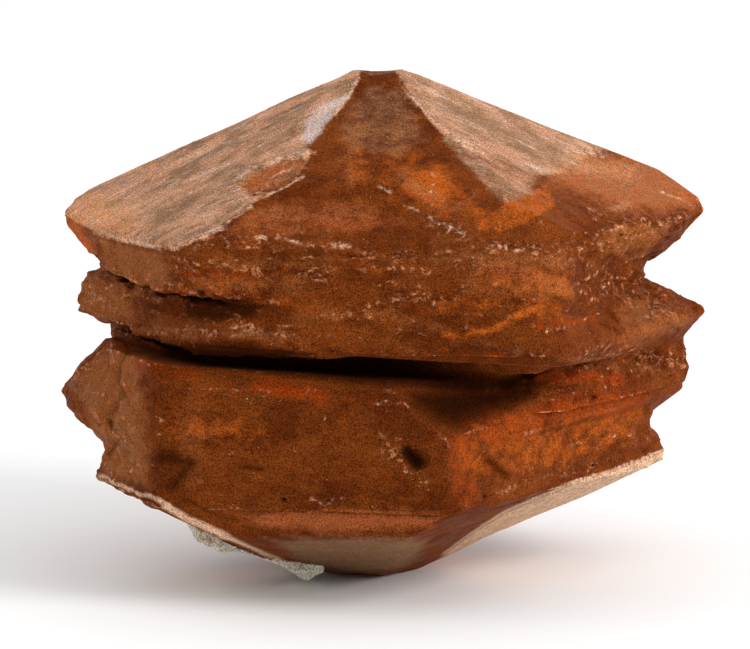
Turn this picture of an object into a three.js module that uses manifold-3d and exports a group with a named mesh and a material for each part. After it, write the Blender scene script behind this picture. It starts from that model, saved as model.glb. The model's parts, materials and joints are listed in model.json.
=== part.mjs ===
// Sturmanite crystal: a doubly terminated, six-sided crystal that grew as a stack of tiers.
// It stands upright on the small flat facet that blunts its lower end.
// Millimetres, +Z up, the front toward -Y. The origin is the middle of that lower facet.

import * as THREE from 'three';
import { mergeVertices } from 'three/addons/utils/BufferGeometryUtils.js';
import Module from 'manifold-3d';

const wasm = await Module();
wasm.setup();

// Heights above the surface that the crystal stands on
const topHeight = 25.3;
const capRimHeight = 18.07;
const capBottomHeight = 15.4;
const secondRimHeight = 13.3;
const lowerRimHeight = 9.85;
const footRimHeight = 5.7;
const crustTop = 4;

// Growth paused where the main groove is, and what it paused on was not quite level
const pauseFacing = 132.5;
const pauseSlope = 4.65;
const grooveRoof = 12.15;
const grooveFloor = 11.15;

// A side is named by the way it faces, in degrees round +Z: 0 is the front, 90 is +X.
// An outline is the distance of each of the six sides from the axis, from the front round to the right.
const capOutline = [12.3, 14, 14.7, 13.4, 13.6, 13.7];
const secondOutline = [11.9, 14.1, 14.2, 12.9, 13.1, 13.0];
const lowerOutline = [12.5, 12.17, 14.7, 12.6, 11.3, 15.4];
const footOutline = [12.5, 11.2, 13.5, 11.9, 9.9, 14.04];
const upperCoreOutline = [9.2, 11.4, 11.6, 10.6, 11.5, 11.6];
const lowerCoreOutline = [10.2, 10.2, 11.9, 9.8, 9.5, 12.8];

// The lower tiers are turned a little against the upper ones, and rise toward the right
const lowerTwist = -8;
const lowerRise = 0.03;

// Slope of the upper pyramid's faces from the level, in degrees
const pyramidSlope = 29.4;
const stockSize = 60;

// Two shell-shaped breaks side by side on the front face share one radius
const shellRadius = 14;
const shellForward = -18.46;
const shellHeight = 30.2;

const facingVector = (facing) => {
  const turn = THREE.MathUtils.degToRad(facing);
  return new THREE.Vector3(Math.sin(turn), -Math.cos(turn), 0);
};

// A face looks outward along its facing.
// Its slope is 0 for a level top, 90 for an upright face and 180 for a level underside.
const face = (facing, slope, x, y, z) => {
  const lean = THREE.MathUtils.degToRad(slope);
  const normal = facingVector(facing).multiplyScalar(Math.sin(lean));
  normal.z = Math.cos(lean);
  return { normal, point: new THREE.Vector3(x, y, z) };
};

const level = (height) => face(0, 0, 0, 0, height);
const underside = (height) => face(0, 180, 0, 0, height);
const allSides = [0, 1, 2, 3, 4, 5];
const rightSides = [1, 2];
const leftSides = [4, 5];

// Faces of one slope that pass round an outline, inset from it, at one height
const belt = (outline, inset, height, slope, { twist = 0, rise = 0, sides = allSides } = {}) =>
  sides.map((side) => {
    const facing = twist + side * 60;
    const middle = facingVector(facing).multiplyScalar(outline[side] - inset);
    return face(facing, slope, middle.x, middle.y, height + rise * middle.x);
  });

const toSolid = (geometry) => {
  const bare = geometry.clone();
  bare.deleteAttribute('normal');
  bare.deleteAttribute('uv');
  const merged = mergeVertices(bare, 1e-4);
  return new wasm.Manifold(new wasm.Mesh({
    numProp: 3,
    vertProperties: new Float32Array(merged.attributes.position.array),
    triVerts: new Uint32Array(merged.index.array),
  }));
};

// The block of stock that lies beyond a face
const beyond = ({ normal, point }) => {
  const half = new THREE.BoxGeometry(2 * stockSize, 2 * stockSize, stockSize);
  half.translate(0, 0, stockSize / 2);
  half.applyQuaternion(new THREE.Quaternion().setFromUnitVectors(new THREE.Vector3(0, 0, 1), normal));
  half.translate(point.x, point.y, point.z);
  return toSolid(half);
};

const grow = (faces) => {
  const stock = toSolid(new THREE.BoxGeometry(stockSize, stockSize, stockSize));
  return faces.reduce((solid, side) => solid.subtract(beyond(side)), stock);
};

const join = (solids) => solids.reduce((whole, solid) => whole.add(solid));
const carve = (solid, cuts) => cuts.reduce((left, cut) => left.subtract(cut), solid);

// The tiers, from the top down. Each is a block with flat faces that the others overlap.
// A face is given by its facing, its slope and a point that it passes through.

// Cap: the upper pyramid with its blunt tip, over sides that fall back below the rim
const cap = grow([
  level(topHeight),
  face(0, pyramidSlope, 0, -0.1, topHeight),
  face(60, pyramidSlope, 1.1, 0, topHeight),
  face(-60, pyramidSlope, -0.95, 0, topHeight),
  face(-45, 27.9, -3.44, -5.74, 22.12),
  face(-30, 37.6, -4.95, -8.65, 20.9),
  face(30, 46, 6.05, -9.5, 20.1),
  face(120, 23.5, 1.2, 0.1, topHeight),
  face(120, 46, 12.1, 7, 19.5),
  face(90, 41, 15.35, 3, 19.4),
  face(-120, 27.4, -1.2, 0.1, topHeight),
  face(-90, 50, -15.1, 0.9, 18.95),
  face(180, pyramidSlope, 0, 0.4, topHeight),
  face(-3.5, 96, 0, -11.75, 18.2),
  ...belt(capOutline, 0, capRimHeight, 105),
  ...belt(capOutline, 0.35, 17.85, 128, { sides: rightSides }),
  ...belt(capOutline, 0.15, 17.5, 123, { sides: leftSides }),
  ...belt(capOutline, 0.15, 17.5, 123, { sides: [3] }),
  ...belt(capOutline, 1.05, 16.7, 138, { sides: rightSides }),
  ...belt(capOutline, 0.9, 16.3, 134, { sides: [3, 4, 5] }),
  underside(capBottomHeight),
]);

// Cap wall: under the left front of the rim the side drops upright
const capWall = grow([
  level(17.7),
  face(0, 94, 0, -11.35, 17),
  face(-30, 92, -8.7, -10.5, 16.5),
  face(-61, 94, -11.9, -6.5, 17.2),
  face(-95, 97, -13.7, 0, 16),
  face(-120, 95, -11, 3, 16),
  face(60, 90, -3, 0, 16),
  face(180, 90, 0, 2, 16),
  underside(15.5),
]);

// Front band: the rough bridge over the first groove, from the middle of the front to the right
const frontBand = grow([
  level(17.9),
  face(0, 40, 0, -11.5, 18),
  face(0, 88, 0, -12.1, 17),
  face(69, 90, 13.35, 0, 15),
  face(40, 80, 8.2, -11.2, 17),
  face(-25, 86, -4, -12.1, 15),
  face(-50, 80, -8, -9.9, 15),
  ...belt(upperCoreOutline, 0, 15, 90, { sides: leftSides }),
  face(120, 90, 11, 4, 15),
  face(180, 90, 0, 2, 15),
  underside(13),
]);

// Second tier: a thin plate with a sharp rim, over the main groove
const second = grow([
  level(14.7),
  ...belt(secondOutline, 0.5, 13.65, 32),
  ...belt(secondOutline, 0, secondRimHeight, 72),
  ...belt(secondOutline, 0.05, 12.85, 128),
  face(pauseFacing - 180, 180 - pauseSlope, 0, 0, grooveRoof),
]);

// The left end of the second tier stands higher than the rest
const secondLeft = grow([
  ...belt(secondOutline, 0.35, 15, 30, { sides: leftSides }),
  ...belt(secondOutline, 0, 14.1, 76, { sides: leftSides }),
  ...belt(secondOutline, 0.3, 13.2, 133, { sides: leftSides }),
  face(0, 50, -6, -9.4, 14.6),
  face(180, 50, -6, 9.4, 14.6),
  face(60, 60, -5, 0, 14.6),
  level(15.4),
  underside(12.6),
]);

// A ledge carries it on round the corner until it runs into the front band
const secondLedge = grow([
  face(-12, 30, -6, -11.6, 14.9),
  ...belt(secondOutline, 0.2, 14.6, 76, { sides: leftSides }),
  face(0, 80, -6, -12.1, 14.4),
  face(-8, 128, -6, -12, 13.7),
  face(62, 60, -2.5, -12, 14),
  face(-120, 90, -12.5, -5.5, 14),
  face(180, 90, 0, -4, 14),
  level(15.3),
  underside(12.8),
]);

// Lower tier: the thick plate under the main groove, cut off by a dark facet at the front
const lowerPlace = { twist: lowerTwist, rise: lowerRise };
const darkShoulder = face(39.7, 48, 3.45, -13.1, 9.1);
const lower = grow([
  face(pauseFacing, pauseSlope, 0, 0, grooveFloor),
  darkShoulder,
  face(48, 90, 3.5, -13.15, 8),
  face(-61, 90, -10.9, -11.3, 8),
  ...belt(lowerOutline, 0.5, 10.65, 50, lowerPlace),
  ...belt(lowerOutline, 0, lowerRimHeight, 68, lowerPlace),
  ...belt(lowerOutline, 0.05, 9.6, 103, lowerPlace),
  ...belt(lowerOutline, 0.2, 9, 122, lowerPlace),
  ...belt(lowerOutline, 0.7, 8.4, 138, lowerPlace),
  underside(6.5),
]);

// Lower step: a small ledge in the groove between the lower tier and the foot
const lowerStep = grow([
  level(8.6),
  ...belt(lowerOutline, 1.6, 7.6, 84, lowerPlace),
  ...belt(lowerOutline, 1.65, 7.3, 126, lowerPlace),
  underside(6.2),
]);

// Right shoulder: it closes the main groove on the right
const rightShoulder = grow([
  level(12.9),
  face(52.5, 84, 15.42, 0.2, 11.1),
  face(108, 76, 15.42, 0.2, 11.1),
  face(20, 62, 8.4, -7.4, 11.4),
  face(-45, 48, 7.2, -7.2, 11.2),
  face(52.5, 100, 15.72, 0.2, 10.3),
  face(108, 104, 15.72, 0.2, 10.3),
  face(165, 62, 10, 5.5, 11.2),
  face(-90, 60, 5.5, 0, 11.2),
  underside(9.5),
]);

// Lower front: one flat prism face runs over the lower tiers at the front
const lowerFront = grow([
  face(pauseFacing, pauseSlope, 0, 0, grooveFloor),
  darkShoulder,
  face(lowerTwist, 90, -3.4, -12.3, 8),
  face(lowerTwist, 55, -3.4, -12.25, 11.35),
  face(50.5, 89, 3.5, -13.15, 8),
  face(90, 90, 13.65, 0, 8),
  face(112, 90, 13.4, 0.4, 8),
  face(172, 90, 0, 4, 8),
  face(-128, 90, -8.5, 3, 8),
  face(-90, 90, -13.25, 0, 8),
  face(-66, 89, -10.9, -11.3, 8),
  underside(5.3),
]);

// Foot: the lower pyramid, down to the small flat facet that the crystal stands on
const foot = grow([
  level(7.2),
  ...belt(footOutline, 0.35, 6.6, 38, lowerPlace),
  ...belt(footOutline, 0, footRimHeight, 70, lowerPlace),
  ...belt(footOutline, 0, footRimHeight - 0.3, 97, lowerPlace),
  face(lowerTwist, 180 - 22, -0.4, -2.2, 0),
  face(lowerTwist, 122, -3, -12.2, 5.2),
  face(52, 180 - 30.2, 1.2, -1.4, 0),
  face(112, 180 - 25, 1.6, 0.8, 0),
  face(172, 180 - 26, -0.4, 2.2, 0),
  face(-128, 180 - 30, -2.1, 1.3, 0),
  face(-68, 180 - 14, -2.3, -0.7, 0),
  face(-68, 180 - 27, -14.2, -2.3, 5.12),
  underside(0),
]);

// The two cores are what shows at the back of the grooves
const upperCore = grow([
  level(19),
  ...belt(upperCoreOutline, 0, 12, 90),
  underside(11.6),
]);

const lowerCore = grow([
  level(12.6),
  ...belt(lowerCoreOutline, 0, 8, 90, { twist: lowerTwist }),
  face(lowerTwist, 90, 0, -9.3, 11.5),
  underside(4.8),
]);

// Crust: pale flakes grown on under the lower left edge.
// Their lower edge is given as it hangs, across the crystal and up.
const crustEdge = [
  [-9.6, 3.1], [-8.9, 2.8], [-8.45, 2.2], [-8.05, 1.95], [-7.8, 2.15], [-7.15, 2.15], [-6.4, 1.98],
  [-5.9, 1.78], [-4.95, 1.27], [-4.15, 0.8], [-3.6, 0.32], [-3.1, 0.66], [-2.7, 0.8],
];
const crustFront = -7.6;
const crustDepth = 6;

const crustShape = new THREE.Shape();
crustShape.moveTo(crustEdge[0][0], crustTop);
crustEdge.forEach(([x, z]) => crustShape.lineTo(x, z));
crustShape.lineTo(crustEdge.at(-1)[0], crustTop);

const crustStock = new THREE.ExtrudeGeometry(crustShape, { depth: crustDepth, bevelEnabled: false });
crustStock.rotateX(Math.PI / 2);
crustStock.translate(0, crustFront + crustDepth, 0);
const crust = grow([
  face(20, 78, -9.6, -7.3, 2.5),
  face(-70, 70, -9.5, -5.6, 2.6),
  face(-160, 70, -8.8, -3.6, 2),
  face(lowerTwist, 180 - 22, -0.4, -2.2, -0.95),
  face(-68, 180 - 27, -14.2, -2.3, 4.4),
]).intersect(toSolid(crustStock));

const stacked = join([
  cap, capWall, frontBand, second, secondLeft, secondLedge, upperCore,
  lower, lowerStep, rightShoulder, lowerFront, lowerCore, foot, crust,
]);

// Scoops: two shallow shell-shaped breaks in the front face, and the hollow in the blunt tip
const scoop = (x, y, z, radius) => {
  const ball = new THREE.SphereGeometry(radius, 72, 48);
  ball.translate(x, y, z);
  return toSolid(ball);
};

const scoops = [
  scoop(-0.65, shellForward, shellHeight, shellRadius),
  scoop(-4.65, shellForward, shellHeight, shellRadius),
  scoop(0.05, 0.15, topHeight + 4.3, 4.5),
];

// Pits in the flat faces: a place and a radius for each
const pit = (x, y, z, radius) => {
  const hole = new THREE.IcosahedronGeometry(radius, 1);
  hole.scale(1.2, 0.8, 0.9);
  hole.translate(x, y, z);
  return toSolid(hole);
};

const pits = [
  pit(1.85, -13.05, 8.05, 0.62),
  pit(-2.4, -12.45, 6.2, 0.34),
  pit(5.9, -11.1, 6.3, 0.5),
  pit(-13.2, -6.8, 8.7, 0.5),
];

// Nicks: the rims are broken in many small places, spread by a fixed sequence of random numbers
let sequence = 20;
const random = () => {
  sequence = (sequence * 16807) % 2147483647;
  return sequence / 2147483647;
};
const between = (low, high) => low + (high - low) * random();

// Where side and the next side of an outline meet
const corner = (outline, side, twist) => {
  const first = facingVector(twist + side * 60);
  const next = facingVector(twist + side * 60 + 60);
  const near = outline[side % 6];
  const far = outline[(side + 1) % 6];
  const spread = first.x * next.y - first.y * next.x;
  const x = (near * next.y - far * first.y) / spread;
  const y = (far * first.x - near * next.x) / spread;
  return new THREE.Vector3(x, y, 0);
};

const nick = (centre, size) => {
  const chip = new THREE.OctahedronGeometry(size, 0);
  chip.scale(between(1.1, 2), between(0.7, 1.1), between(0.4, 0.8));
  chip.applyQuaternion(new THREE.Quaternion().setFromEuler(
    new THREE.Euler(between(-0.6, 0.6), between(-0.6, 0.6), between(0, 6.3)),
  ));
  chip.translate(centre.x, centre.y, centre.z);
  return toSolid(chip);
};

const nickRim = (outline, height, count, { twist = 0, rise = 0, sides = allSides } = {}) =>
  sides.flatMap((side) => {
    const start = corner(outline, side + 5, twist);
    const end = corner(outline, side, twist);
    return Array.from({ length: count }, () => {
      const place = start.clone().lerp(end, random());
      place.z = height + rise * place.x + between(-0.35, 0.25);
      place.addScaledVector(facingVector(twist + side * 60), between(0.05, 0.3));
      return nick(place, between(0.25, 0.6));
    });
  });

const nicks = [
  ...nickRim(capOutline, capRimHeight, 9),
  ...nickRim(secondOutline, secondRimHeight, 9),
  ...nickRim(lowerOutline, lowerRimHeight, 9, { ...lowerPlace, sides: [1, 2, 3, 4, 5] }),
  ...nickRim(footOutline, footRimHeight, 7, lowerPlace),
];

const whole = carve(stacked, [...scoops, ...pits, ...nicks]);

const toMesh = (name, solid, material) => {
  const { vertProperties, triVerts } = solid.getMesh();
  const geometry = new THREE.BufferGeometry();
  geometry.setAttribute('position', new THREE.BufferAttribute(new Float32Array(vertProperties), 3));
  geometry.setIndex(new THREE.BufferAttribute(new Uint32Array(triVerts), 1));
  geometry.computeVertexNormals();
  const mesh = new THREE.Mesh(geometry, material);
  mesh.name = name;
  return mesh;
};

const sturmanite = new THREE.Group();
const resinBrown = new THREE.MeshStandardMaterial({ color: 0x8a4a28, roughness: 0.45, metalness: 0 });
sturmanite.add(toMesh('crystal', whole, resinBrown));

export default sturmanite;
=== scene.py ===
# %% [markdown]
# # A sturmanite crystal that grew in stacked tiers
# Sturmanite is a soft mineral of the ettringite group. This crystal has six sides and a blunt
# pyramid at both ends, and it grew in spells: each spell left a tier with a rim, and each pause a
# groove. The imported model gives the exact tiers. This lesson makes a copy of it that is fine enough
# to hold worn rims, pits and growth lines, and then a resin-like finish for it.

# %% Load the frame
import json
import math

import bmesh
import bpy
import numpy as np
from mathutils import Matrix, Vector, noise
from mathutils.bvhtree import BVHTree

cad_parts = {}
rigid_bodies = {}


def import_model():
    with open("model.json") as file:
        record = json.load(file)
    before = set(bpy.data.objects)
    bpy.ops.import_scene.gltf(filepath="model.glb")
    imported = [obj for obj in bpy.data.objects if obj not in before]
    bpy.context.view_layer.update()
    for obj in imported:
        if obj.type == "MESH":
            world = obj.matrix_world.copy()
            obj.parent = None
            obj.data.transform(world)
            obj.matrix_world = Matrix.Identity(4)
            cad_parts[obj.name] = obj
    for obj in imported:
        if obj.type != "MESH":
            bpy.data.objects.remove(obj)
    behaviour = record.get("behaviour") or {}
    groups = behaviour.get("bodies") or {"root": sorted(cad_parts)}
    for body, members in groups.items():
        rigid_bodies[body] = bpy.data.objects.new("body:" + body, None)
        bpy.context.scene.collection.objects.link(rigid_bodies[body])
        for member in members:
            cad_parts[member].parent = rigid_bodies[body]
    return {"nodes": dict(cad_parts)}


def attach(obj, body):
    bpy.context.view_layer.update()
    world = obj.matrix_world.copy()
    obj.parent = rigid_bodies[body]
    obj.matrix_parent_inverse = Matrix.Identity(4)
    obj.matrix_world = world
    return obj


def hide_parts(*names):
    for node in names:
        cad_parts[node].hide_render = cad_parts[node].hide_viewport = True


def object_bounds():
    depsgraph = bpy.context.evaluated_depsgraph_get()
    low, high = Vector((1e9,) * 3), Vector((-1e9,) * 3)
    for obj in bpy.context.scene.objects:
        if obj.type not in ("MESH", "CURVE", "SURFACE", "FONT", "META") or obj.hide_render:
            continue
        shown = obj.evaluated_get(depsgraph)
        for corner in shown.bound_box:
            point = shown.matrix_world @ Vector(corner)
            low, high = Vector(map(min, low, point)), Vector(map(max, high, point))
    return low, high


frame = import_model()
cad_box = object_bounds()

MM = 0.001


def in_mm(corners):
    return [[round(value / MM, 2) for value in corner] for corner in corners]


print("nodes:", sorted(frame["nodes"]), "box in mm:", in_mm(cad_box))

# %% [markdown]
# ## The camera
# The crystal is seen from the front and a little from above. A long lens from 40 cm away keeps the
# edges of the tiers nearly parallel, as in a catalogue picture. Twenty pixels of the 750 pixel wide
# frame show one millimetre at the middle of the crystal, and that fixes the focal length.

# %% Camera
FRAME_WIDTH_PX = 750
PX_PER_MM = 20
CAMERA_RISE = math.radians(10)
CAMERA_DISTANCE = 400 * MM
SENSOR_WIDTH_MM = 36
AIM = Vector((-0.15, 0, 12.41)) * MM

to_camera = Vector((0, -math.cos(CAMERA_RISE), math.sin(CAMERA_RISE)))
camera_up = Vector((0, math.sin(CAMERA_RISE), math.cos(CAMERA_RISE)))
bpy.ops.object.camera_add(location=AIM + to_camera * CAMERA_DISTANCE)
camera = bpy.context.object
camera.name = "camera"
camera.rotation_euler = to_camera.to_track_quat("Z", "Y").to_euler()
camera.data.sensor_width = SENSOR_WIDTH_MM
camera.data.lens = PX_PER_MM * CAMERA_DISTANCE / MM * SENSOR_WIDTH_MM / FRAME_WIDTH_PX
camera.data.clip_start = 10 * MM
camera.data.clip_end = 10
bpy.context.scene.camera = camera
print("focal length in mm:", round(camera.data.lens, 1))

# %% [markdown]
# ## A fine copy of the crystal
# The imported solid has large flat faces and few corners, so nothing small can be shaped on it. A
# voxel remesh would round its edges. Here the long edges of a copy are cut in half again and again
# until they are short, and the flat faces get even triangles. The front gets the finest ones. How
# far a corner faces the camera is a cosine: 1 is straight at it, and below 0 it faces away.

# %% Copy the solid and cut its long edges
CUT_LENGTHS_MM = (3, 1.5, 0.8, 0.45)
FRONT_CUT_LENGTH_MM = 0.25
FRONT_FACING = -0.1
MERGE_DISTANCE_MM = 0.001
FLAT_ANGLE = math.radians(1)


def make_active(piece):
    bpy.ops.object.select_all(action="DESELECT")
    piece.select_set(True)
    bpy.context.view_layer.objects.active = piece


def copy_node(node, name):
    make_active(node)
    bpy.ops.object.duplicate()
    piece = bpy.context.object
    piece.name = piece.data.name = name
    bpy.ops.object.parent_clear(type="CLEAR_KEEP_TRANSFORM")
    bpy.ops.object.mode_set(mode="EDIT")
    bpy.ops.mesh.select_all(action="SELECT")
    bpy.ops.mesh.remove_doubles(threshold=MERGE_DISTANCE_MM * MM)
    bpy.ops.object.mode_set(mode="OBJECT")
    return piece


def cut_long_edges(piece, longest, front_only=False):
    bpy.ops.object.mode_set(mode="EDIT")
    bpy.ops.mesh.select_mode(type="EDGE")
    bpy.ops.mesh.select_all(action="DESELECT")
    shape = bmesh.from_edit_mesh(piece.data)
    for edge in shape.edges:
        seen = any(corner.normal.dot(to_camera) > FRONT_FACING for corner in edge.verts)
        edge.select_set(edge.calc_length() > longest and (seen or not front_only))
    bpy.ops.mesh.subdivide(number_cuts=1)
    bpy.ops.mesh.select_all(action="SELECT")
    bpy.ops.mesh.quads_convert_to_tris(quad_method="SHORTEST_DIAGONAL", ngon_method="BEAUTY")
    bpy.ops.mesh.beautify_fill(angle_limit=FLAT_ANGLE)
    bpy.ops.object.mode_set(mode="OBJECT")


crystal = copy_node(frame["nodes"]["crystal"], "sturmanite_crystal")
for length_mm in CUT_LENGTHS_MM:
    cut_long_edges(crystal, length_mm * MM)
cut_long_edges(crystal, FRONT_CUT_LENGTH_MM * MM, front_only=True)
print("triangles:", len(crystal.data.polygons), "corners:", len(crystal.data.vertices))

# %% [markdown]
# ## Where things are on the crystal
# Everything that follows is placed by where a corner of the mesh lies and which way its face looks,
# so both are read into arrays once. Facing is an angle from the front, positive to the right, and
# slope is 0 for a face that looks up and 90 for a wall. What is on the front is described as it is
# seen: so many millimetres to the right of the point that the camera aims at, and so many above it.

# %% Places, facings and small helpers
TURNED_AWAY = -0.12
TURN_SOFTNESS = 0.2
NOISE_FALL = 0.9
NOISE_STEP = 2.0


def read_vectors(piece, field):
    flat = np.empty(len(piece.data.vertices) * 3)
    piece.data.vertices.foreach_get(field, flat)
    return flat.reshape(-1, 3)


def ramp(value, low, high):
    """0 below low, 1 above high, and a smooth rise between them."""
    share = np.clip((value - low) / (high - low), 0, 1)
    return share * share * (3 - 2 * share)


def band(value, low, high, soft):
    """1 between low and high, with soft ends."""
    return ramp(value, low - soft, low + soft) * (1 - ramp(value, high - soft, high + soft))


def lumps(places_mm, size_mm, octaves=4, start=0.0):
    """Fractal noise from about -1 to 1. size_mm is how large its lumps are along X, Y and Z, and
    start picks the piece of noise."""
    points = places_mm / np.array(size_mm) + start
    return np.array([noise.fractal(Vector(point), NOISE_FALL, NOISE_STEP, octaves) for point in points])


places = read_vectors(crystal, "co") / MM
normals = read_vectors(crystal, "normal")
across, depth, height = places.T
facing = np.degrees(np.arctan2(normals[:, 0], -normals[:, 1]))
slope = np.degrees(np.arccos(np.clip(normals[:, 2], -1, 1)))
facing_camera = normals @ np.array(to_camera)
far_side = 1 - ramp(facing_camera, TURNED_AWAY, TURNED_AWAY + TURN_SOFTNESS)

from_aim = places - np.array(AIM) / MM
nearness = CAMERA_DISTANCE / MM / (CAMERA_DISTANCE / MM - from_aim @ np.array(to_camera))
seen_right = from_aim[:, 0] * nearness
seen_up = from_aim @ np.array(camera_up) * nearness
print("corners that face the camera:", int((facing_camera > 0).sum()))

# %% [markdown]
# A mark is a path with a width. A path that ends where it starts is an area. The field of a mark is
# a height: it falls from the mark's strength to nothing at its edge and on to -1 outside, so the
# shader can later fray that edge with noise.

# %% Marks as fields
def path_distance(path):
    best = np.full(len(places), np.inf)
    for (x0, y0), (x1, y1) in zip(path, path[1:]):
        run = np.array([x1 - x0, y1 - y0])
        share = ((seen_right - x0) * run[0] + (seen_up - y0) * run[1]) / (run @ run)
        share = np.clip(share, 0, 1)
        best = np.minimum(best, np.hypot(seen_right - x0 - share * run[0], seen_up - y0 - share * run[1]))
    return best


def path_inside(path):
    inside = np.zeros(len(places), bool)
    for (x0, y0), (x1, y1) in zip(path, path[1:]):
        if y0 != y1:
            crossing = x0 + (seen_up - y0) * (x1 - x0) / (y1 - y0)
            inside ^= ((y0 > seen_up) != (y1 > seen_up)) & (seen_right < crossing)
    return inside


def mark_field(marks, turned_away=TURNED_AWAY):
    """Each mark is a half width, a softness, a strength and a path, in mm as seen."""
    field = np.full(len(places), -1.0)
    for half_width, softness, strength, path in marks:
        reach = -path_distance(path)
        if path[0] == path[-1]:
            reach = np.where(path_inside(path), -reach, reach)
        field = np.maximum(field, np.minimum((reach + half_width) / softness, strength))
    seen = ramp(facing_camera, turned_away, turned_away + TURN_SOFTNESS)
    return field * seen - (1 - seen)


# %% [markdown]
# ## Worn rims and edges
# Sturmanite is hardly harder than a fingernail, so its rims are blunt and broken. Where noise is
# high the edges are smoothed a lot, and elsewhere only a little. The bridge of rough growth under
# the cap and the knobs at the lower left have no clean edges at all.

# %% Weights, wear and pushes
SMOOTH_FACTOR = 0.5


def apply_weighted(piece, modifier, weights):
    """Applies a modifier where the weights are: a vertex group says how much each corner takes part."""
    group = piece.vertex_groups.new(name=modifier.name)
    for index, weight in enumerate(np.clip(weights, 0, 1).tolist()):
        if weight > 0:
            group.add([index], weight, "REPLACE")
    modifier.vertex_group = group.name
    make_active(piece)
    bpy.ops.object.modifier_apply(modifier=modifier.name)
    piece.vertex_groups.clear()


def wear(piece, name, weights, passes):
    """Smooths away edges where the weights are high."""
    modifier = piece.modifiers.new(name, "SMOOTH")
    modifier.factor = SMOOTH_FACTOR
    modifier.iterations = passes
    apply_weighted(piece, modifier, weights)


def push(piece, name, heights_mm):
    """Moves each corner along its normal: outward by a positive height, inward by a negative one."""
    reach = float(np.abs(heights_mm).max())
    for sign in (1, -1):
        weights = np.clip(sign * heights_mm / reach, 0, 1)
        if weights.max() > 0:
            modifier = piece.modifiers.new(name, "DISPLACE")
            modifier.strength = sign * reach * MM
            modifier.mid_level = 0
            apply_weighted(piece, modifier, weights)


# %% Wear the edges
broken = ramp(lumps(places, (1.6, 1.6, 1.1), 3, 3.7), 0.0, 0.4)
wear(crystal, "all_edges", np.full(len(places), 0.6), passes=3)
wear(crystal, "broken_edges", broken, passes=16)
print("corners on broken edges and faces:", int((broken > 0.5).sum()))

# %% [markdown]
# The rough places are bands of height, facing and place across. Where the camera sees an edge of the
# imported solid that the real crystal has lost, a mark is worn down hardest of all.

# %% Blunt the rough places
front_side = band(facing, -58, 80, 10)
bridge = band(height, 12.9, 17.9, 0.4) * front_side * ramp(across, -11, -8)
shoulder = band(height, 9.9, 12.6, 0.3) * band(across, 5, 16, 1) * front_side
knobs = band(height, 3.5, 11.6, 0.5) * (1 - ramp(across, -11.2, -10.0))
foot_rim = band(height, 4.6, 6.9, 0.3) * front_side
ledge = band(height, 12.6, 16.2, 0.3) * (1 - ramp(across, -5, -3))
BLUNT_PLACES = (
    (0.5, 0.6, 1.0, [(-10.4, 3.7), (-10.2, 1.2)]),
    (0.5, 0.6, 1.0, [(-11.3, -3.2), (-11.1, -8.7)]),
    (0.5, 0.4, 1.0, [(3.6, -1.2), (8.3, -1.0)]),
    (0.6, 0.4, 1.0, [(-4.9, -8.8), (-4.3, -8.8)]),
    (0.4, 0.4, 1.0, [(-10.0, -8.9), (-9.7, -9.0)]),
)
ROUGH_PLACES = (
    ("rough_bridge", bridge, 40),
    ("blunt_shoulder", shoulder, 30),
    ("blunt_knobs", knobs, 40),
    ("blunt_foot_rim", foot_rim, 30),
    ("blunt_ledge", ledge, 20),
    ("blunt_places", mark_field(BLUNT_PLACES, turned_away=-2) * (depth < 0), 60),
)
for name, weights, passes in ROUGH_PLACES:
    wear(crystal, name, weights, passes)
    print(name, "corners:", int((weights > 0.5).sum()))

# %% [markdown]
# ## Growth lines and lumps
# The side faces carry fine level ledges from growth, the pyramid faces faint furrows that run down
# beside their ridges, and the bridge is lumpy. Chips are missing from the ridges of the cap, a crack
# runs down the left block, and the front and the right end have small pits. These are marks again,
# and this time their field says how deep the mesh sinks in.

# %% Chips, cracks and pits
CHIPPED_PATCH = (0.0, 0.35, 1.0, [
    (-7, 7), (-5.7, 8.1), (-3.9, 8.6), (-3, 8.4), (-4.2, 6.8), (-6.2, 6.2), (-7, 7),
])
CHIPS = (
    CHIPPED_PATCH,
    (0.3, 0.4, 1.0, [
        (-12.3, -1.2), (-12.9, -2.2), (-12.7, -3.4), (-13.2, -4.5), (-12.8, -5.7), (-13.3, -6.5),
    ]),
    (0.12, 0.2, 1.0, [(-6.7, 6.6), (-6.1, 7.4), (-5.0, 7.8), (-3.8, 7.9)]),
    (0.12, 0.2, 1.0, [(-5.9, 6.4), (-5.3, 7.0), (-4.4, 7.3)]),
    (0.35, 0.3, 0.8, [(3.7, 9.3), (4.9, 8.1), (6.2, 6.6)]),
    (0.2, 0.3, 0.7, [(10.0, 8.7), (11.4, 8.6), (13.0, 8.0)]),
    (0.25, 0.3, 0.6, [(15.6, 6.4), (16.2, 5.7)]),
    (0.2, 0.3, 0.8, [(-15.4, 5.4), (-14.9, 4.4)]),
    (0.3, 0.25, 1.0, [(-2.7, -8.5), (-2.3, -8.7)]),
    (0.25, 0.3, 0.9, [(1.5, -6.2), (2.1, -6.9)]),
    (0.15, 0.2, 0.9, [(13.7, 1.1), (13.8, 0.3)]),
    (0.15, 0.2, 0.9, [(11.8, 0.4), (12.2, 0.1)]),
    (0.15, 0.2, 0.9, [(14.6, 0.1), (15.2, -0.3)]),
)
RIM_FLAKES = (
    (0.9, 0.8, 1.0, [(-9.8, 3.2), (-4.0, 3.4), (2.0, 3.4), (7.5, 3.6), (12.5, 4.8)]),
)
CRUMBLY_END = (
    (0.2, 0.8, 1.0, [
        (10.3, 6.3), (16.5, 6), (13.5, 3), (16.4, 1), (15.6, -2.6), (9.5, -2.4), (10.3, 6.3),
    ]),
    (0.8, 0.8, 0.7, [(8.7, -5.8), (14.0, -5.5)]),
)
chips = np.clip(mark_field(CHIPS), 0, 1)
flaky_rim = np.clip(mark_field(RIM_FLAKES), 0, 1)
crumbly_end = np.clip(mark_field(CRUMBLY_END), 0, 1)
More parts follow.
